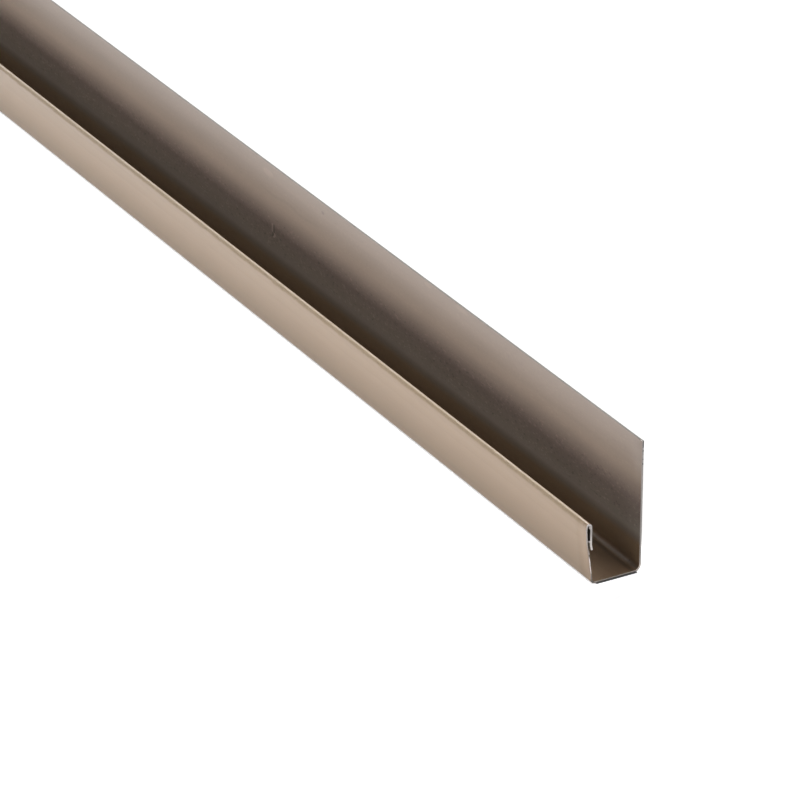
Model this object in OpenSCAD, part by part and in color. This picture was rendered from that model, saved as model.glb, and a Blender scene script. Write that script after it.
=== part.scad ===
// J-channel trim: one long strip of painted sheet metal, bent to a J. The tall back leg is
// fastened to the wall, the web spans the edge of the panel, and the short face leg covers
// that edge. The face leg ends in an open hem, folded back into the channel.
// X runs along the stock, Y from the face leg to the back leg and Z up. The origin is at
// the middle of the web's underside.

/* [Stock] */
// Length of the piece
stock_len = 3048; // [300:1:3700]
// Thickness of the painted sheet
sheet_t = 0.85; // [0.4:0.05:1.2]

/* [Channel] */
// Height of the back leg, from the underside of the web
back_h = 57.15; // [38:0.05:110]
// Width of the web's underside, from the back leg's outer face to the foot of the face leg
web_w = 23; // [16:0.1:60]
// Height of the face leg, from the underside of the web to the crown of its hem
face_h = 27; // [20:0.1:60]
// Inside radius of the bend between the web and the back leg
heel_r = 2.3; // [0.6:0.1:3.5]
// Inside radius of the bend between the web and the face leg
foot_r = 1.5; // [0.6:0.1:3.5]
// Lean of the face leg away from the back leg, in degrees
face_lean = 7.5; // [0:0.5:12]

/* [Hem] */
// Depth of the hem, from its crown to its tip
hem_h = 11.4; // [9.5:0.1:14]
// Inside radius of the tight bend at the top of the face leg
crown_r = 0.2; // [0.1:0.05:0.8]
// Inside radius of the easier bend that carries the fold down into the channel
shoulder_r = 0.8; // [0.6:0.05:2.4]
// Depth of the hemmed part of the face leg, which stands more upright
neck_h = 7.7; // [6:0.1:9]
// Lean of the hemmed part of the face leg, in degrees
neck_lean = 3.5; // [0:0.5:5]
// Lean back over the channel just under the crown, in degrees
brow_lean = 14.5; // [0:0.5:18]
// Radius, at mid thickness, of the easy bend that leads from the neck to the crown
brow_r = 8; // [4:0.5:10]
// Length of the lip that leans into the channel at the hem's tip
lip_len = 2; // [1:0.1:4]
// Lean of the lip, in degrees
lip_lean = 12; // [1:0.5:30]
// Radius, at mid thickness, of the slight bends above the face leg and at the lip
ease_r = 2; // [1:0.1:4]

/* [Hidden] */
// Turn of one facet of a bend, in degrees
facet_turn = 7.5;

// Each bend's radius at mid thickness
heel_mid = heel_r + sheet_t / 2;
foot_mid = foot_r + sheet_t / 2;
crown_mid = crown_r + sheet_t / 2;
shoulder_mid = shoulder_r + sheet_t / 2;
// Turn of each bend in degrees, clockwise as seen with the back leg on the right
heel_turn = 90;
shoulder_turn = 90;
foot_turn = 90 - face_lean;
neck_turn = face_lean - neck_lean;
brow_turn = neck_lean + brow_lean;
crown_turn = 90 - brow_lean;

// What a bend at the underside takes from the leg beside it
function setback(r, turn) = (r + sheet_t) * tan(turn / 2);
// Height of the strip's mid thickness where the face leg leaves its foot, where it eases
// into the neck, and where the neck ends under the brow
foot_z = sheet_t / 2 + foot_mid * (1 - sin(face_lean));
neck_z = face_h - neck_h;
brow_z = face_h - sheet_t / 2 - crown_mid * (1 - sin(brow_lean))
    - brow_r * (sin(brow_lean) + sin(neck_lean));
ease_rise = ease_r * (sin(face_lean) - sin(neck_lean));

// The strip's legs from the top of the back leg to the tip of the hem, each with the length
// of its flat, the turn that ends it and that turn's radius at mid thickness
legs = [
    [back_h - setback(heel_r, heel_turn), heel_turn, heel_mid],
    [web_w - setback(heel_r, heel_turn) - setback(foot_r, foot_turn), foot_turn, foot_mid],
    [(neck_z - foot_z - ease_rise) / cos(face_lean), neck_turn, ease_r],
    [(brow_z - neck_z) / cos(neck_lean), brow_turn, brow_r],
    [0, crown_turn, crown_mid],
    [0, shoulder_turn, shoulder_mid],
    [hem_h - lip_len - shoulder_mid - sheet_t / 2, -lip_lean, ease_r],
    [lip_len, 0, ease_r]
];

// Unit vector at an angle
function toward(angle) = [cos(angle), sin(angle)];

// A station is a point at mid thickness and the heading there: [point, heading]
function moved(s, dist) = [s[0] + dist * toward(s[1]), s[1]];
// The station after a bend, which turns clockwise when the turn is positive
function turned(s, turn, r) =
    let (side = turn < 0 ? 90 : -90,
        centre = s[0] + r * toward(s[1] + side))
    [centre + r * toward(s[1] - turn - side), s[1] - turn];

// The stations of one leg after its start: the end of its flat and each facet of its bend
function leg_stations(s, leg) =
    let (flat_end = moved(s, leg[0]),
        n = ceil(abs(leg[1]) / facet_turn))
    concat(leg[0] > 0 ? [flat_end] : [],
        [for (k = [1:1:n]) turned(flat_end, leg[1] * k / n, leg[2])]);
// The stations of all legs from leg i onwards, starting with s
function walk(s, i = 0) =
    i == len(legs) ? [s] :
    let (made = leg_stations(s, legs[i]))
    concat([s], [for (k = [0:1:len(made) - 2]) made[k]], walk(made[len(made) - 1], i + 1));

stations = walk([[web_w / 2 - sheet_t / 2, back_h], -90]);

// The strip's outline: out along one face and back along the other
function face_points(offset) = [for (s = stations) s[0] + offset * toward(s[1] + 90)];
function reversed(list) = [for (i = [len(list) - 1:-1:0]) list[i]];
section = concat(face_points(sheet_t / 2), reversed(face_points(-sheet_t / 2)));

// The whole strip: the section pushed along the stock
module j_channel() {
    color([0.73, 0.66, 0.58])
        translate([-stock_len / 2, 0, 0])
            rotate([90, 0, 90])
                linear_extrude(height = stock_len)
                    polygon(section);
}

j_channel();
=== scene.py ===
from math import ceil, cos, radians, sin, tan

import bpy
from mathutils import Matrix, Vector, noise
from mathutils.bvhtree import BVHTree


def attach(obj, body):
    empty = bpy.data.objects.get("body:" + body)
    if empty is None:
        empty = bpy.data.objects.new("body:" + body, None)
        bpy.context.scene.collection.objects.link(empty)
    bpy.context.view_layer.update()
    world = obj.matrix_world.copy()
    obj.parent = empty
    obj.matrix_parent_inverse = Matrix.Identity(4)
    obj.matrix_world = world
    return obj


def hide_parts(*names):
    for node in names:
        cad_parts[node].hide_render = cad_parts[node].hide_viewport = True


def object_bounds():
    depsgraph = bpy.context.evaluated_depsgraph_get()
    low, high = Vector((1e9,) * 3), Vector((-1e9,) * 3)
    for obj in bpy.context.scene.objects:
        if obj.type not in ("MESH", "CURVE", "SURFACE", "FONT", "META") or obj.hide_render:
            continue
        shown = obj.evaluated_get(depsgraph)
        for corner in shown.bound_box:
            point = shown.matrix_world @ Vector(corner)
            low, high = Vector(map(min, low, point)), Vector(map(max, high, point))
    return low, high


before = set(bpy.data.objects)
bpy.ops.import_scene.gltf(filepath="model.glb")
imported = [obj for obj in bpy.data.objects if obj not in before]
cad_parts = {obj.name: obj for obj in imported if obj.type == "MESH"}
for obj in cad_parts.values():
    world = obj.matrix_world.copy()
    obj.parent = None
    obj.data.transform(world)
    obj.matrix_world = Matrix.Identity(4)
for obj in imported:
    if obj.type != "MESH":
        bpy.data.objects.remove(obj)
cadLow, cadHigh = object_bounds()  # the CAD box
print("frame loaded, CAD box", tuple(cadLow), tuple(cadHigh))

scene = bpy.context.scene
scene.view_settings.view_transform = "Standard"  # the ground is clear white, so nothing rolls it off


# Shader maths: a Wire is an output socket, and sums of wires add Math nodes.

class Wire:
    def __init__(self, board, socket):
        self.board = board
        self.socket = socket

    def sum(self, operation, first, second):
        return self.board.node("ShaderNodeMath", {"operation": operation}, {0: first, 1: second})

    def __add__(self, other):
        return self.sum("ADD", self, other)

    def __sub__(self, other):
        return self.sum("SUBTRACT", self, other)

    def __rsub__(self, other):
        return self.sum("SUBTRACT", other, self)

    def __mul__(self, other):
        return self.sum("MULTIPLY", self, other)

    def __truediv__(self, other):
        return self.sum("DIVIDE", self, other)

    def __pow__(self, other):
        return self.sum("POWER", self, other)

    __radd__ = __add__
    __rmul__ = __mul__

    def absolute(self):
        return self.sum("ABSOLUTE", self, 0)

    def sine(self):
        return self.sum("SINE", self, 0)


class Board:
    def __init__(self, tree):
        self.tree = tree
        self.tree.nodes.clear()

    def node(self, kind, settings=None, sockets=None, output=0):
        made = self.tree.nodes.new(kind)
        for name, value in (settings or {}).items():
            if name == "stops":
                self.setStops(made.color_ramp, value)
            else:
                setattr(made, name, value)
        for key, value in (sockets or {}).items():
            if isinstance(value, Wire):
                self.tree.links.new(value.socket, made.inputs[key])
            else:
                made.inputs[key].default_value = value
        return Wire(self, made.outputs[output]) if made.outputs else made

    def setStops(self, ramp, stops):
        while len(ramp.elements) < len(stops):
            ramp.elements.new(0.5)
        for element, (place, colour) in zip(ramp.elements, stops):
            element.position = place
            element.color = (*colour, 1)

    def place(self):
        return self.node("ShaderNodeTexCoord", output=3)  # Object coordinates

    def grain(self, fine, detail):  # noise that swings about 0, with one fineness or one for each axis
        if isinstance(fine, tuple):
            place = self.node("ShaderNodeMapping", None, {"Vector": self.place(), "Scale": fine})
            fine = 1
        else:
            place = self.place()
        return self.node("ShaderNodeTexNoise", None, {"Vector": place, "Scale": fine, "Detail": detail}) - 0.5

    def grains(self, patterns):
        return {name: self.grain(fine, detail) for name, (fine, detail) in patterns.items()}

    def axes(self):
        split = self.node("ShaderNodeSeparateXYZ", None, {0: self.place()}).socket.node
        return [Wire(self, split.outputs[i]) for i in range(3)]

    def step(self, value, low, high):  # 0 at low, 1 at high, eased between them
        return self.node("ShaderNodeMapRange", {"interpolation_type": "SMOOTHSTEP"},
                         {"Value": value, "From Min": low, "From Max": high})

    def between(self, value, rise, full, fade, end):  # eased up from rise to full, and down from fade to end
        return self.step(value, rise, full) * (1 - self.step(value, fade, end))

    def line(self, aside, core, rim):  # 1 within core of where aside is 0, and 0 past rim
        return 1 - self.step(aside.absolute(), core, rim)

    def blend(self, share, first, second):
        return self.node("ShaderNodeMix", {"data_type": "RGBA"}, {0: share, 6: first, 7: second}, 2)

    def ramp(self, value, stops):  # colours laid out along a value
        low, high = stops[0][0], stops[-1][0]
        share = self.node("ShaderNodeMapRange", None, {"Value": value, "From Min": low, "From Max": high})
        places = [((place - low) / (high - low), colour) for place, colour in stops]
        return self.node("ShaderNodeValToRGB", {"stops": places}, {0: share})

    def spot(self, across, up, size):  # 1 in a small oval around the place where both are 0
        far = ((across / size[0]) ** 2 + (up / size[1]) ** 2) ** 0.5
        return 1 - self.step(far, 0.5, 1)

    def toned(self, colour, tone):  # a colour made lighter or darker by a number
        plain = colour if isinstance(colour, Wire) else colour[:3]
        return self.node("ShaderNodeVectorMath", {"operation": "SCALE"}, {0: plain, "Scale": tone})

    def bump(self, height, strength, distance):
        return self.node("ShaderNodeBump", None,
                         {"Height": height, "Strength": strength, "Distance": distance})

    def finish(self, sockets):
        surface = self.node("ShaderNodeBsdfPrincipled", None, sockets)
        self.node("ShaderNodeOutputMaterial", None, {"Surface": surface})


def newFinish(name):
    material = bpy.data.materials.new(name)
    material.use_nodes = True
    return material, Board(material.node_tree)


# The strip. Lengths are in metres, angles in degrees, as in the part's source.

strip = {
    "sheetThick": 0.00085,
    "webWide": 0.023,         # underside, from the back leg's outer face to the foot of the face leg
    "faceHigh": 0.027,
    "heelRadius": 0.0023,     # inside radii of the bends
    "footRadius": 0.0015,
    "crownRadius": 0.0002,
    "shoulderRadius": 0.0008,
    "browRadius": 0.008,      # at mid thickness, as the eases are
    "easeRadius": 0.002,
    "faceLean": 7.5,
    "neckLean": 3.5,
    "browLean": 14.5,
    "lipLean": 12,
    "neckHigh": 0.0077,
    "hemHigh": 0.0114,
    "lipLong": 0.002,
    "webPart": 0.005,         # the share of the web's flat that is bent up with each leg
    "cellsLong": 381,         # cells along the stock, and rows of them across each flat
    "rows": {"web": 1, "back": 7, "face": 4, "neck": 2, "fold": 3, "lip": 1},
    "facetTurn": 7.5,         # the turn of one facet of a bend
    "narrowRow": 0.0003,
    "same": 1e-6,             # places closer than this are the same
    "weld": 1e-7,
    "backWave": 0.00008,      # how far the free edges wander, inwards only
    "faceWave": 0.00006,
    "waveLong": 0.34,
    "edgeRound": 0.00006,     # rounding of the cut edges, which turn by more than the angle
    "roundAngle": 50,
    "smoothAngle": 35,        # faces that meet at less than this are shaded as one
    "ragged": 0.00008,        # how uneven the sawn ends are, and how fine that is
    "ragFine": 350,
    "shrink": 0.000004,       # keeps the facets' corners inside the CAD box
    "burrCuts": 4,
    "burrRough": 0.25,
    "burrFine": 2500,
    "burrs": [
        # low front, low back, high front and high back corners in the section, and how deep they go
        (((-0.0137, 0.0262), (-0.0120, 0.0241), (-0.01365, 0.0266), (-0.0120, 0.0262)), 0.0012),
        (((-0.0136, 0.01908), (-0.01215, 0.01868), (-0.0136, 0.01952), (-0.01215, 0.01925)), 0.0005),
    ],
}
stockLong = cadHigh.x - cadLow.x
backHigh = cadHigh.z
backFace = cadHigh.y
endX = cadHigh.x
midThick = strip["sheetThick"] / 2


def headed(angle):  # a direction in the section, from +Y towards +Z
    return Vector((0, cos(radians(angle)), sin(radians(angle))))


def setback(radius, turn):  # what a bend takes from the flat beside it
    return (radius + strip["sheetThick"]) * tan(radians(turn / 2))


def goStraight(tip, length, rows):  # a narrow row at each end keeps the flat's shading flat
    narrow = strip["narrowRow"]
    for part in [narrow] + [(length - 2 * narrow) / rows] * rows + [narrow]:
        step = headed(tip["heading"]) * part
        bpy.ops.mesh.extrude_region_move(TRANSFORM_OT_translate={"value": step})
    tip["at"] = tip["at"] + headed(tip["heading"]) * length


def goRound(tip, turn, radius):  # a positive turn goes from +Y towards +Z
    side = 90 if turn > 0 else -90
    centre = tip["at"] + headed(tip["heading"] + side) * radius
    steps = ceil(abs(turn) / strip["facetTurn"])
    bpy.ops.mesh.spin(steps=steps, angle=radians(-turn), center=centre, axis=(1, 0, 0))
    tip["heading"] += turn
    tip["at"] = centre - headed(tip["heading"] + side) * radius


def pickRow(sheet, y):  # selects the row of edges at that y, and nothing else
    bpy.ops.object.mode_set(mode="EDIT")
    bpy.ops.mesh.select_mode(type="EDGE")
    bpy.ops.mesh.select_all(action="DESELECT")
    bpy.ops.object.mode_set(mode="OBJECT")
    onRow = [abs(v.co.y - y) < strip["same"] for v in sheet.data.vertices]
    for edge in sheet.data.edges:
        edge.select = all(onRow[i] for i in edge.vertices)
    bpy.ops.object.mode_set(mode="EDIT")


def layWeb(webStart, webEnd):  # the flat middle of the web at mid thickness
    bpy.ops.object.select_all(action="DESELECT")
    bpy.ops.mesh.primitive_grid_add(x_subdivisions=strip["cellsLong"], y_subdivisions=2, size=1,
                                    location=(0, (webStart + webEnd) / 2, midThick))
    sheet = bpy.context.object
    sheet.scale = (stockLong - 2 * strip["shrink"], webEnd - webStart, 1)
    bpy.ops.object.transform_apply(location=True, rotation=True, scale=True)
    return sheet


def raiseBackLeg(sheet, heelY):
    webPart = strip["webPart"]
    tip = {"at": Vector((0, heelY - webPart, midThick)), "heading": 0}
    pickRow(sheet, tip["at"].y)
    goStraight(tip, webPart, strip["rows"]["web"])
    goRound(tip, 90, strip["heelRadius"] + midThick)
    goStraight(tip, backHigh - strip["shrink"] - tip["at"].z, strip["rows"]["back"])
    bpy.ops.object.mode_set(mode="OBJECT")


def raiseFaceLeg(sheet, footY):
    webPart, rows = strip["webPart"], strip["rows"]
    faceLean, neckLean, browLean = strip["faceLean"], strip["neckLean"], strip["browLean"]
    tip = {"at": Vector((0, footY + webPart, midThick)), "heading": 180}
    pickRow(sheet, tip["at"].y)
    goStraight(tip, webPart, rows["web"])
    goRound(tip, faceLean - 90, strip["footRadius"] + midThick)
    neckZ = strip["faceHigh"] - strip["neckHigh"]
    easeRise = strip["easeRadius"] * (sin(radians(faceLean)) - sin(radians(neckLean)))
    goStraight(tip, (neckZ - easeRise - tip["at"].z) / cos(radians(faceLean)), rows["face"])
    goRound(tip, neckLean - faceLean, strip["easeRadius"])
    crownMid = strip["crownRadius"] + midThick
    browRise = strip["browRadius"] * (sin(radians(browLean)) + sin(radians(neckLean)))
    browZ = strip["faceHigh"] - midThick - crownMid * (1 - sin(radians(browLean))) - browRise
    goStraight(tip, (browZ - tip["at"].z) / cos(radians(neckLean)), rows["neck"])
    goRound(tip, -neckLean - browLean, strip["browRadius"])
    goRound(tip, browLean - 90, crownMid)
    shoulderMid = strip["shoulderRadius"] + midThick
    goRound(tip, -90, shoulderMid)
    goStraight(tip, strip["hemHigh"] - strip["lipLong"] - shoulderMid - midThick, rows["fold"])
    goRound(tip, strip["lipLean"], strip["easeRadius"])
    goStraight(tip, strip["lipLong"], rows["lip"])
    bpy.ops.object.mode_set(mode="OBJECT")


def faceDown(sheet):  # normals to the painted side, which is the web's underside
    bpy.ops.object.mode_set(mode="EDIT")
    bpy.ops.mesh.select_all(action="SELECT")
    bpy.ops.mesh.remove_doubles(threshold=strip["weld"])
    bpy.ops.mesh.normals_make_consistent(inside=False)
    bpy.ops.object.mode_set(mode="OBJECT")
    web = [p for p in sheet.data.polygons if abs(p.center.z - midThick) < strip["same"]]
    if web[0].normal.z > 0:
        bpy.ops.object.mode_set(mode="EDIT")
        bpy.ops.mesh.flip_normals()
        bpy.ops.object.mode_set(mode="OBJECT")


def waveEdge(sheet, name, share, distance):  # a slow wander of a free edge, along Y
    group = sheet.vertex_groups.new(name=name)
    for v in sheet.data.vertices:
        group.add([v.index], max(0, min(1, share(v.co))), "REPLACE")
    texture = bpy.data.textures.new(name, "CLOUDS")
    texture.noise_scale = strip["waveLong"]
    texture.noise_depth = 1
    wave = sheet.modifiers.new(name, "DISPLACE")
    wave.texture = texture
    wave.texture_coords = "LOCAL"
    wave.direction = "Y"
    wave.mid_level = 0
    wave.strength = distance
    wave.vertex_group = name
    bpy.ops.object.modifier_apply(modifier=wave.name)
    sheet.vertex_groups.remove(sheet.vertex_groups[name])


def thicken(sheet):
    wall = sheet.modifiers.new("wall", "SOLIDIFY")
    wall.thickness = strip["sheetThick"] - 2 * strip["shrink"]
    wall.offset = 0
    wall.use_even_offset = True
    wall.material_offset = 1      # the inner coat
    wall.material_offset_rim = 2  # the cut edges
    bpy.ops.object.modifier_apply(modifier=wall.name)
    rounding = sheet.modifiers.new("rounding", "BEVEL")
    rounding.width = strip["edgeRound"]
    rounding.segments = 2
    rounding.limit_method = "ANGLE"
    rounding.angle_limit = radians(strip["roundAngle"])
    bpy.ops.object.modifier_apply(modifier=rounding.name)


def markDepth(sheet, middle):  # 0 at the inner coat, 1 at the outer paint, kept for the cut edges
    tree = BVHTree.FromObject(middle, bpy.context.evaluated_depsgraph_get())
    depth = sheet.data.attributes.new("depth", "FLOAT", "POINT")
    for v, d in zip(sheet.data.vertices, depth.data):
        place, normal, face, distance = tree.find_nearest(v.co)
        d.value = 0.5 + (v.co - place).dot(normal) / strip["sheetThick"]


def roughenEnds(sheet):  # the sawn ends are a little uneven, inwards only
    near = 2 * strip["edgeRound"]
    for v in sheet.data.vertices:
        if abs(v.co.x) > endX - near:
            bite = 0.5 + 0.5 * noise.noise(Vector((0, v.co.y, v.co.z)) * strip["ragFine"])
            v.co.x -= strip["ragged"] * max(0, min(1, bite)) * (1 if v.co.x > 0 else -1)


def addBurr(sheet, corners, depth, edge):  # a smear of metal that the saw left in the hem's end
    bpy.ops.object.select_all(action="DESELECT")
    bpy.ops.mesh.primitive_cube_add(size=2)
    smear = bpy.context.object
    for v in smear.data.vertices:
        y, z = corners[(v.co.y > 0) + 2 * (v.co.z > 0)]
        v.co = (endX - strip["ragged"] - (depth if v.co.x < 0 else 0), y, z)
    bpy.ops.object.mode_set(mode="EDIT")
    bpy.ops.mesh.select_all(action="SELECT")
    bpy.ops.mesh.subdivide(number_cuts=strip["burrCuts"])
    bpy.ops.object.mode_set(mode="OBJECT")
    middle = sum((v.co for v in smear.data.vertices), Vector()) / len(smear.data.vertices)
    for v in smear.data.vertices:
        swell = 1 + strip["burrRough"] * noise.noise(v.co * strip["burrFine"])
        v.co = middle + (v.co - middle) * min(1, swell)
    smear.data.materials.append(edge)
    sheet.select_set(True)
    bpy.context.view_layer.objects.active = sheet
    bpy.ops.object.join()


def makeStrip(paint, coat, edge):
    footTurn = 90 - strip["faceLean"]
    heelY = backFace - setback(strip["heelRadius"], 90)
    footY = backFace - strip["webWide"] + setback(strip["footRadius"], footTurn)
    sheet = layWeb(footY + strip["webPart"], heelY - strip["webPart"])
    raiseBackLeg(sheet, heelY)
    raiseFaceLeg(sheet, footY)
    faceDown(sheet)
    print("sheet bent,", len(sheet.data.polygons), "faces")
    heel, foot = strip["heelRadius"], strip["footRadius"]
    waveEdge(sheet, "backWave", lambda p: (p.y > 0) * (p.z - heel) / (backHigh - heel), -strip["backWave"])
    waveEdge(sheet, "faceWave", lambda p: (p.y < 0) * (p.z - foot) / strip["faceHigh"], strip["faceWave"])
    middle = sheet.copy()
    middle.data = sheet.data.copy()
    scene.collection.objects.link(middle)
    for material in (paint, coat, edge):
        sheet.data.materials.append(material)
    thicken(sheet)
    markDepth(sheet, middle)
    bpy.data.objects.remove(middle)
    roughenEnds(sheet)
    for corners, depth in strip["burrs"]:
        addBurr(sheet, corners, depth, edge)
    bpy.ops.object.shade_smooth_by_angle(angle=radians(strip["smoothAngle"]))
    sheet.name = "painted_strip"
    print("strip thickened,", len(sheet.data.polygons), "faces")
    return sheet


# The finishes. Pairs of heights or places say where something sets in and where it is full.

paintLook = {
    "colour": (0.158, 0.101, 0.054, 1),
    # how fine each pattern is, with one number or one for each axis, and its detail
    "grains": {"mottle": (45, 3), "streaks": ((6, 700, 700), 2), "peel": (1500, 2),
               "craze": ((1800, 250, 250), 2), "rag": ((260, 60, 60), 3)},
    "mottleTone": 0.05,
    "streakTone": 0.035,
    "peelTone": 0.05,
    "crazeTone": 0.5,
    "bandColour": (0.157, 0.107, 0.057, 1),   # the crazed paint round the crown's bend
    "bandRise": (0.0254, 0.0260),
    "bandEnd": (0.02690, 0.02699),
    "bandFront": (0.0129, 0.0132),
    "bandRagged": 0.0010,
    "crownHighlightColour": (0.31, 0.245, 0.175, 1),   # painted highlight: paler paint over the crown's top and far side
    "crownHighlightFrom": (-0.0132, -0.0127),
    "crownHighlightHigh": (0.0255, 0.0262),
    "footHigh": (0.0005, 0.0020),             # painted shade: the paint darker along the foot's bend, where the strip meets the floor
    "footShade": 0.5,
    "endLightColour": (0.208, 0.144, 0.092, 1),    # painted light: the paint made paler close to the cut
    "endFrom": (0.007, 0.001),
    "farFrom": (0.15, 0.5),                   # painted shade: the paint darker far along the stock, higher up
    "farHigh": (0.012, 0.024),
    "farShade": 0.12,
    "roughness": 0.3,
    "streakRough": 0.08,
    "bandRough": 0.35,
    "specular": 0.354,
    "bump": (0.12, 0.00003),                  # strength, and height in metres
}


def outerPaint():
    material, board = newFinish("tanPaint")
    look = paintLook
    x, y, z = board.axes()
    before = endX - x
    grains = board.grains(look["grains"])
    band = board.step(z + grains["rag"] * look["bandRagged"], *look["bandRise"])
    band = band * (1 - board.step(z, *look["bandEnd"])) * board.step(y * -1, *look["bandFront"])
    # painted highlight over the crown's top and far side
    crownHighlight = board.step(y, *look["crownHighlightFrom"]) * board.step(z, *look["crownHighlightHigh"])
    # painted shade along the foot's bend
    foot = 1 - board.step(z, *look["footHigh"])
    # painted shade far along the stock, higher up
    far = board.step(before, *look["farFrom"]) * board.step(z, *look["farHigh"])
    tone = 1 + grains["mottle"] * look["mottleTone"] + grains["streaks"] * look["streakTone"]
    tone = tone + grains["peel"] * look["peelTone"] - band * grains["craze"] * look["crazeTone"]
    tone = tone * (1 - foot * look["footShade"]) * (1 - far * look["farShade"])
    colour = board.blend(band, look["colour"], look["bandColour"])
    colour = board.blend(crownHighlight, colour, look["crownHighlightColour"])
    # painted light: the paint paler close to the cut
    colour = board.blend(board.step(before, *look["endFrom"]), colour, look["endLightColour"])
    board.finish({
        "Base Color": board.toned(colour, tone),
        "Roughness": look["roughness"] + grains["streaks"] * look["streakRough"] + band * look["bandRough"],
        "Specular IOR Level": look["specular"],
        "Normal": board.bump(grains["peel"], *look["bump"]),
    })
    return material


coatLook = {
    # the coat's colour by height, with painted light in it: browner and warmer towards the web as painted
    # bounce light from the paint, greyer half way up, and lighter at about 16 and 40 mm as painted
    # reflections
    "colours": [(0, (0.19, 0.124, 0.074)), (0.011, (0.17, 0.115, 0.07)), (0.0138, (0.152, 0.124, 0.1)),
                (0.0165, (0.192, 0.163, 0.138)), (0.0212, (0.153, 0.125, 0.104)),
                (0.029, (0.15, 0.116, 0.1)), (0.0402, (0.182, 0.14, 0.11)),
                (0.0445, (0.166, 0.127, 0.1)), (0.0571, (0.155, 0.119, 0.095))],
    "grains": {"mottle": (30, 3), "clouds": ((25, 220, 220), 1), "streaks": ((9, 330, 330), 3),
               "specks": ((550, 1100, 1100), 2)},
    "mottleTone": 0.06,
    "cloudTone": 0.1,
    "streakTone": 0.16,
    # pale and dark specks: the part of their noise that they are, and how strong they are
    "paleSpecks": (0.08, 0.2),
    "paleTone": 0.36,
    "darkSpecks": (0.11, 0.22),
    "darkTone": 0.32,
    "speckHigh": (0.016, 0.02, 0.03, 0.036),   # the heights they are thick between, and their share elsewhere
    "speckLeft": 0.2,
    "wallFrom": (0.009, 0.010),    # where the back leg's inner wall begins, along Y
    "endFrom": (0.035, 0.003),     # painted shade: the wall is darker near its end, most of all low down
    "endHigh": (0.015, 0.055),
    "endHighLess": 0.8,
    "endShade": 0.32,
    "farFrom": (0.1, 0.5),         # painted shade: its top and its foot darker far along the stock
    "farTop": (0.038, 0.05),
    "farFoot": (0.017, 0.024),
    "farShade": 0.14,
    "hemHigh": (0.0186, 0.0196),   # painted shade on the coat inside the hem
    "hemFrom": (0.0120, 0.0121),
    "hemShade": 0.75,
    "crease": (0.0060, 0.0074, 0.0080, 0.0088),   # painted shade: the dark line beside the heel's bend, along Y
    "creaseHigh": (0.0010, 0.0016),
    "creaseShade": 0.3,
    "scratch": {
        "before": 0.3015,     # how far before the near end its top is
        "high": (0.0230, 0.0234, 0.0293, 0.0297),
        "kinks": [(0.0250, 0.0260, 0.0021), (0.0230, 0.0246, -0.0011)],   # heights, and how far aside it goes
        "darkAside": 0.0014,  # the dark line beside it, a painted shadow of the scratch, which crosses over at the upper kink
        "darkCross": 0.0030,
        "half": (0.0004, 0.0009),   # half widths of its core and its rim
        "light": 0.7,
        "dark": 0.4,
    },
    "ripple": {               # a faint line that sways along the wall
        "before": (0.32, 0.30, 0.272, 0.252),   # where it sets in and ends
        "high": 0.04385,
        "sway": 0.0006,
        "pace": 230,          # radians to the metre
        "half": (0.0003, 0.0011),
        "dark": 0.08,
    },
    # pale rubs close to the top edge: how far before the near end, height, half sizes
    "rubs": [(0.1661, 0.0556, (0.004, 0.0012)), (0.1386, 0.0556, (0.007, 0.0012)),
             (0.305, 0.0525, (0.006, 0.002))],
    "rubTone": 0.12,
    # dark marks: how far before the near end, height, half sizes
    "ticks": [(0.0066, 0.0050, (0.0004, 0.0007)), (0.0066, 0.0019, (0.0004, 0.0006)),
              (0.2557, 0.0527, (0.0016, 0.0009)), (0.4566, 0.0218, (0.0007, 0.0005))],
    "tickShade": 0.3,
    "roughness": 0.286,
    "cloudRough": 0.02,
    "webHigh": (0.004, 0.010),     # the web's coat is rougher
    "webRough": 0.2,
    "specular": 0.188,
    "bump": (0.15, 0.00003),
}


def coatSpecks(board, z, specks):  # pale and dark specks, thickest half way up the wall
    look = coatLook
    spots = board.step(specks, *look["paleSpecks"]) * look["paleTone"]
    spots = spots - board.step(specks * -1, *look["darkSpecks"]) * look["darkTone"]
    thick = board.between(z, *look["speckHigh"])
    return spots * (thick * (1 - look["speckLeft"]) + look["speckLeft"])


def wallScratch(board, before, z):  # a scratch: a light line with two kinks, and a dark one beside it as its painted shadow
    scratch = coatLook["scratch"]
    aside = scratch["before"] - before
    for low, high, wide in scratch["kinks"]:
        aside = aside - (1 - board.step(z, low, high)) * wide
    low, high, wide = scratch["kinks"][0]
    beyond = scratch["darkAside"] - (1 - board.step(z, low, high)) * scratch["darkCross"]
    light = board.line(aside, *scratch["half"]) * scratch["light"]
    dark = board.line(aside - beyond, *scratch["half"]) * scratch["dark"]
    return (light - dark) * board.between(z, *scratch["high"])


def wallRipple(board, x, z):
    ripple = coatLook["ripple"]
    aside = z - ripple["high"] - (x * ripple["pace"]).sine() * ripple["sway"]
    along = board.between(endX - x, *ripple["before"])
    return board.line(aside, *ripple["half"]) * along * ripple["dark"]


def coatShade(board, before, y, z, onWall):  # the coat's painted shade in broad places: in the crease, inside the hem, near the end and far along; 1 where there is none
    look = coatLook
    inHem = board.step(z, *look["hemHigh"]) * board.step(y * -1, *look["hemFrom"])
    crease = board.between(y, *look["crease"]) * (1 - board.step(z, *look["creaseHigh"]))
    nearEnd = board.step(before, *look["endFrom"]) * onWall
    nearEnd = nearEnd * (1 - board.step(z, *look["endHigh"]) * look["endHighLess"])
    far = board.step(z, *look["farTop"]) + 1 - board.step(z, *look["farFoot"])
    far = far * board.step(before, *look["farFrom"])
    shade = (1 - crease * look["creaseShade"]) * (1 - inHem * look["hemShade"])
    return shade * (1 - nearEnd * look["endShade"]) * (1 - far * look["farShade"])


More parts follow.
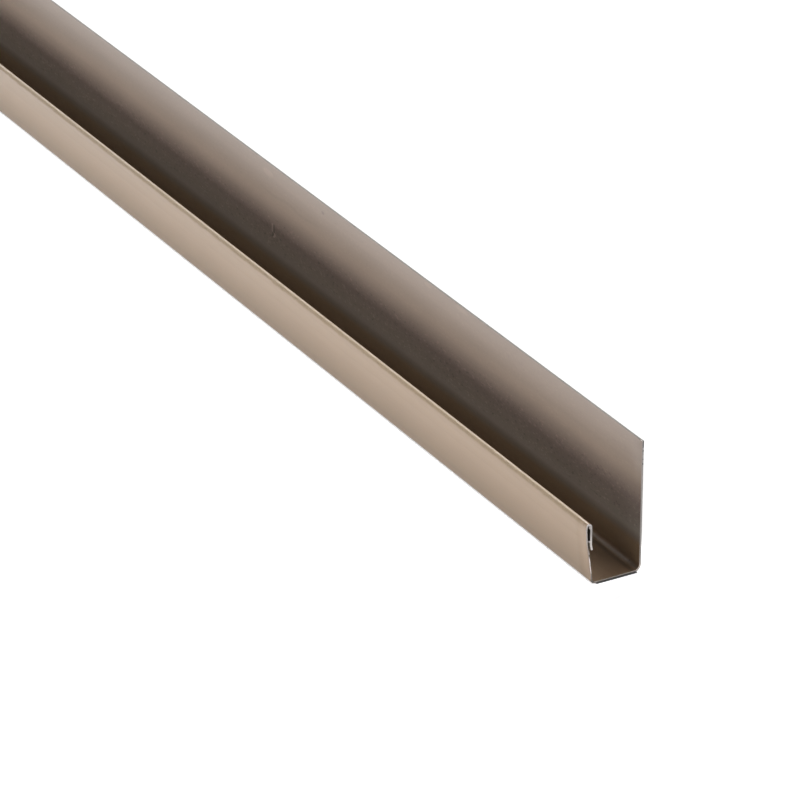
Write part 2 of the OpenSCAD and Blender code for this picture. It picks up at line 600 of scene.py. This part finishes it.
def innerCoat():
    material, board = newFinish("innerCoat")
    look = coatLook
    x, y, z = board.axes()
    before = endX - x
    onWall = board.step(y, *look["wallFrom"])
    grains = board.grains(look["grains"])
    tone = 1 + grains["mottle"] * look["mottleTone"] + grains["clouds"] * look["cloudTone"]
    tone = tone + grains["streaks"] * look["streakTone"] + coatSpecks(board, z, grains["specks"])
    tone = tone + (wallScratch(board, before, z) - wallRipple(board, x, z)) * onWall
    for place, high, size in look["rubs"]:
        tone = tone + board.spot(before - place, z - high, size) * onWall * look["rubTone"]
    tone = tone * coatShade(board, before, y, z, onWall)
    for place, high, size in look["ticks"]:
        tone = tone * (1 - board.spot(before - place, z - high, size) * onWall * look["tickShade"])
    onWeb = 1 - board.step(z, *look["webHigh"])
    board.finish({
        # the coat's colour by height carries painted reflections and painted shade
        "Base Color": board.toned(board.ramp(z, look["colours"]), tone),
        "Roughness": look["roughness"] + grains["clouds"] * look["cloudRough"] + onWeb * look["webRough"],
        "Specular IOR Level": look["specular"],
        "Normal": board.bump(grains["specks"], *look["bump"]),
    })
    return material


edgeLook = {
    # the face leg's end by height: its inner half, its outer half, and the fold
    "faceInner": [(0.001, (0.12, 0.11, 0.1)), (0.0045, (0.26, 0.23, 0.21)),
                  (0.006, (0.62, 0.57, 0.54)), (0.0115, (0.62, 0.57, 0.54)), (0.013, (0.05, 0.04, 0.03)),
                  (0.0186, (0.05, 0.04, 0.03)), (0.0192, (0.3, 0.28, 0.27)), (0.021, (0.25, 0.23, 0.22)),
                  (0.0216, (0.02, 0.015, 0.012)), (0.0258, (0.02, 0.015, 0.012)), (0.0263, (0.42, 0.4, 0.4))],
    "faceOuter": [(0.0014, (0.1, 0.09, 0.08)), (0.003, (0.26, 0.2, 0.165)), (0.0125, (0.22, 0.175, 0.145)),
                  (0.02, (0.3, 0.265, 0.24)), (0.026, (0.33, 0.3, 0.28)), (0.0265, (0.42, 0.4, 0.4))],
    "folded": [(0.0135, (0.55, 0.52, 0.5)), (0.023, (0.31, 0.29, 0.28)), (0.0258, (0.31, 0.29, 0.28)),
               (0.0265, (0.42, 0.4, 0.4))],
    "back": (0.25, 0.232, 0.222, 1),
    "web": (0.36, 0.32, 0.29, 1),
    "torn": (0.02, 0.017, 0.015, 1),
    "slit": (0.13, 0.122, 0.112, 1),   # the long edges, from slitting the coil
    # the cut metal is pale, and this makes it paler still as painted light, in place of the glow that the
    # floor's dark contact lines take from the ends
    "gain": 1.35,
    "grains": {"teeth": (1600, 2), "dashes": ((0, 0, 900), 1)},
    "teethDeep": 0.3,               # how far the saw's teeth shift the halves, and tone the metal
    "teethTone": 0.5,
    "halves": (0.42, 0.6),          # depths, 0 at the inner coat and 1 at the outer paint
    "outerMore": [(0.0115, 0.0135), (0.0210, 0.0220)],   # heights from which the outer half is thicker
    "outerShare": 0.16,
    "innerDepth": (0.02, 0.3),
    "innerShade": 0.55,
    "foldFrom": (-0.0129, -0.0125),
    "foldHigh": (0.0130, 0.0140),
    "webFrom": (-0.0105, -0.0095),
    "webHigh": (0.0028, 0.0042),
    "backFrom": (0.0095, 0.0105),
    "tornFrom": (-0.0105, -0.0085),   # the torn lower half of the web's end
    "tornDepth": (0.5, 0.65),
    "tornShare": 0.6,
    "dashFrom": (0, 0.001),           # the torn dashes of the back leg's end
    "dashHigh": (0.0455, 0.0475),
    "dashFull": (0.0540, 0.0548),
    "dashPart": (0, 0.06),
    "dashDepth": (0.35, 0.55),
    "endWide": (0.0016, 0.0014),      # how far in from its end the strip has the saw's look
    "roughness": 0.6,
    "tornRough": 0.2,
    "metallic": 0.2,
    "specular": 0.05,
    "bump": (0.4, 0.00005),
}


def faceEnd(board, y, z, uneven):  # the colours of the face leg's end and of its fold
    look = edgeLook
    more = sum(board.step(z, *heights) for heights in look["outerMore"]) * look["outerShare"]
    outer = board.step(uneven + more, *look["halves"])
    shade = 1 - (1 - board.step(uneven, *look["innerDepth"])) * look["innerShade"]
    inner = board.toned(board.ramp(z, look["faceInner"]), shade)
    face = board.blend(outer, inner, board.ramp(z, look["faceOuter"]))
    folded = board.step(y, *look["foldFrom"]) * board.step(z, *look["foldHigh"])
    return board.blend(folded, face, board.ramp(z, look["folded"]))


def tornEdge(board, y, z, uneven, dashes):  # 1 where the saw tore the metal
    look = edgeLook
    low = (1 - board.step(z, *look["webHigh"])) * board.step(y, *look["tornFrom"])
    low = low * board.step(uneven, *look["tornDepth"]) * look["tornShare"]
    high = board.step(z, *look["dashHigh"]) * board.step(y, *look["dashFrom"])
    high = high * board.step(dashes + board.step(z, *look["dashFull"]), *look["dashPart"])
    return low + high * board.step(uneven, *look["dashDepth"])


def cutEdge():
    material, board = newFinish("cutEdge")
    look = edgeLook
    x, y, z = board.axes()
    grains = board.grains(look["grains"])
    depth = board.node("ShaderNodeAttribute", {"attribute_name": "depth"}, None, 2)
    uneven = depth + grains["teeth"] * look["teethDeep"]
    torn = tornEdge(board, y, z, uneven, grains["dashes"])
    onBack = board.step(y, *look["backFrom"]) * board.step(z, *look["webHigh"])
    colour = board.blend(board.step(y, *look["webFrom"]), faceEnd(board, y, z, uneven), look["web"])
    colour = board.blend(onBack, colour, look["back"])
    colour = board.blend(torn, colour, look["torn"])
    onEnd = board.step(endX - x.absolute(), *look["endWide"])
    colour = board.blend(onEnd, look["slit"], board.toned(colour, look["gain"]))
    board.finish({
        "Base Color": board.toned(colour, 1 + grains["teeth"] * look["teethTone"]),
        "Roughness": look["roughness"] + torn * look["tornRough"],
        "Metallic": onEnd * (1 - torn) * look["metallic"],
        "Specular IOR Level": look["specular"],
        "Normal": board.bump(grains["teeth"], *look["bump"]),
    })
    return material


stripPiece = makeStrip(outerPaint(), innerCoat(), cutEdge())
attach(stripPiece, "root")
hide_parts("j_channel")


# The studio: a pale floor that glows as a light table does, most of all in front, and nine soft suns.

studio = {
    "floorSize": 60,
    "floorColour": (0.8, 0.8, 0.8, 1),
    "floorBehind": (0.515, 0.515, 0.515, 1),
    "floorRough": 0.9,
    "floorSpecular": 0.1,
    "glowNear": 0.894,   # the floor's glow beside the strip and in front of it
    "glowFront": 2.349,
    "glowFrom": (0.045, 0.075),
    "glowBehind": (0.014, 0.03),
    "glowPastEnd": (0.005, 0.015),     # in line with the strip, and in front of it
    "frontPastEnd": (0.03, 0.15),
    "inFront": (0.0115, 0.0145),
    "contactFoot": (0.0107, 0.0114),   # painted contact shadows: the dark lines along the strip's foot and under its ends, where the floor's glow is dimmed and, under the ends, its colour darkened
    "contactEnd": (-0.0003, 0, 0.0005, 0.0013),
    "contactWide": (0.0090, 0.0102),
    "footShade": 0.5,
    "endShade": 0.9,
    "room": 0.01,        # how bright the room is, and what shows of it behind the floor
    "backdrop": 0.93,
    "lamps": [
        # azimuth from +X towards +Y, elevation and spread in degrees, strength
        (40, 65, 30, 0.597),
        (98, 75, 30, 0.739),
        (135, 55, 30, 2.096),
        (135, 40, 30, 2.629),
        (160, 35, 30, 1.811),
        (190, 15, 25, 1.428),
        (215, 12, 20, 0.554),
        (215, 25, 30, 1.181),
        (240, 45, 30, 0.208),
    ],
}


def makeFloor():
    bpy.ops.mesh.primitive_plane_add(size=studio["floorSize"], location=(0, 0, 0))
    floor = bpy.context.object
    floor.name = "floor"
    material, board = newFinish("paleFloor")
    x, y, z = board.axes()
    past = x.absolute() - endX
    front = board.step(y * -1, *studio["glowFrom"])
    behind = board.step(y, *studio["glowBehind"])
    inLine = 1 - board.step(y * -1, *studio["inFront"])
    glow = studio["glowNear"] + front * (studio["glowFront"] - studio["glowNear"])
    glow = glow * (1 - behind) * (1 - board.step(past, *studio["frontPastEnd"]))
    glow = glow * (1 - board.step(past, *studio["glowPastEnd"]) * inLine)
    # painted contact shadows under the ends and along the foot
    atEnd = board.between(past, *studio["contactEnd"])
    atEnd = atEnd * (1 - board.step(y.absolute(), *studio["contactWide"]))
    atFoot = 1 - board.step(y * -1, *studio["contactFoot"])
    atFoot = atFoot * (1 - board.step(past, *studio["contactEnd"][:2]))
    glow = glow * (1 - atEnd) * (1 - atFoot * studio["footShade"])
    colour = board.blend(behind, studio["floorColour"], studio["floorBehind"])
    board.finish({
        "Base Color": board.toned(colour, 1 - atEnd * studio["endShade"]),
        "Roughness": studio["floorRough"],
        "Specular IOR Level": studio["floorSpecular"],
        "Emission Color": board.toned((1, 1, 1), glow),
        "Emission Strength": 1,
    })
    floor.data.materials.append(material)


def lightRoom():
    world = bpy.data.worlds.new("room")
    world.use_nodes = True
    scene.world = world
    board = Board(world.node_tree)
    seen = board.node("ShaderNodeLightPath")
    room = studio["room"] + seen * (studio["backdrop"] - studio["room"])
    sky = board.node("ShaderNodeBackground", None, {"Color": (1, 1, 1, 1), "Strength": room})
    board.node("ShaderNodeOutputWorld", None, {"Surface": sky})
    for azimuth, elevation, spread, strength in studio["lamps"]:
        turn, rise = radians(azimuth), radians(elevation)
        away = Vector((cos(turn) * cos(rise), sin(turn) * cos(rise), sin(rise)))
        bpy.ops.object.light_add(type="SUN", location=away)
        lamp = bpy.context.object
        lamp.rotation_euler = (-away).to_track_quat("-Z", "Y").to_euler()
        lamp.data.angle = radians(spread)
        lamp.data.energy = strength


view = {
    "azimuth": 60.339,
    "elevation": 26.645,
    "distance": 2.0,
    "lens": 230.24,      # millimetres
    "sensor": 36,
    "reach": 200,        # how far the camera sees
    "aside": -0.08447,   # the aim lies this far left of and above the near end's web
    "above": 0.06941,
}


def setCamera():
    turn, rise = radians(view["azimuth"]), radians(view["elevation"])
    back = Vector((sin(turn) * cos(rise), -cos(turn) * cos(rise), sin(rise)))
    right = Vector((cos(turn), sin(turn), 0))
    up = back.cross(right)
    aim = Vector((endX, 0, 0)) + right * view["aside"] + up * view["above"]
    bpy.ops.object.camera_add(location=aim + back * view["distance"])
    camera = bpy.context.object
    camera.rotation_euler = (-back).to_track_quat("-Z", "Y").to_euler()
    camera.data.lens = view["lens"]
    camera.data.sensor_width = view["sensor"]
    camera.data.clip_end = view["reach"]
    scene.camera = camera


makeFloor()
lightRoom()
setCamera()
print("studio ready")
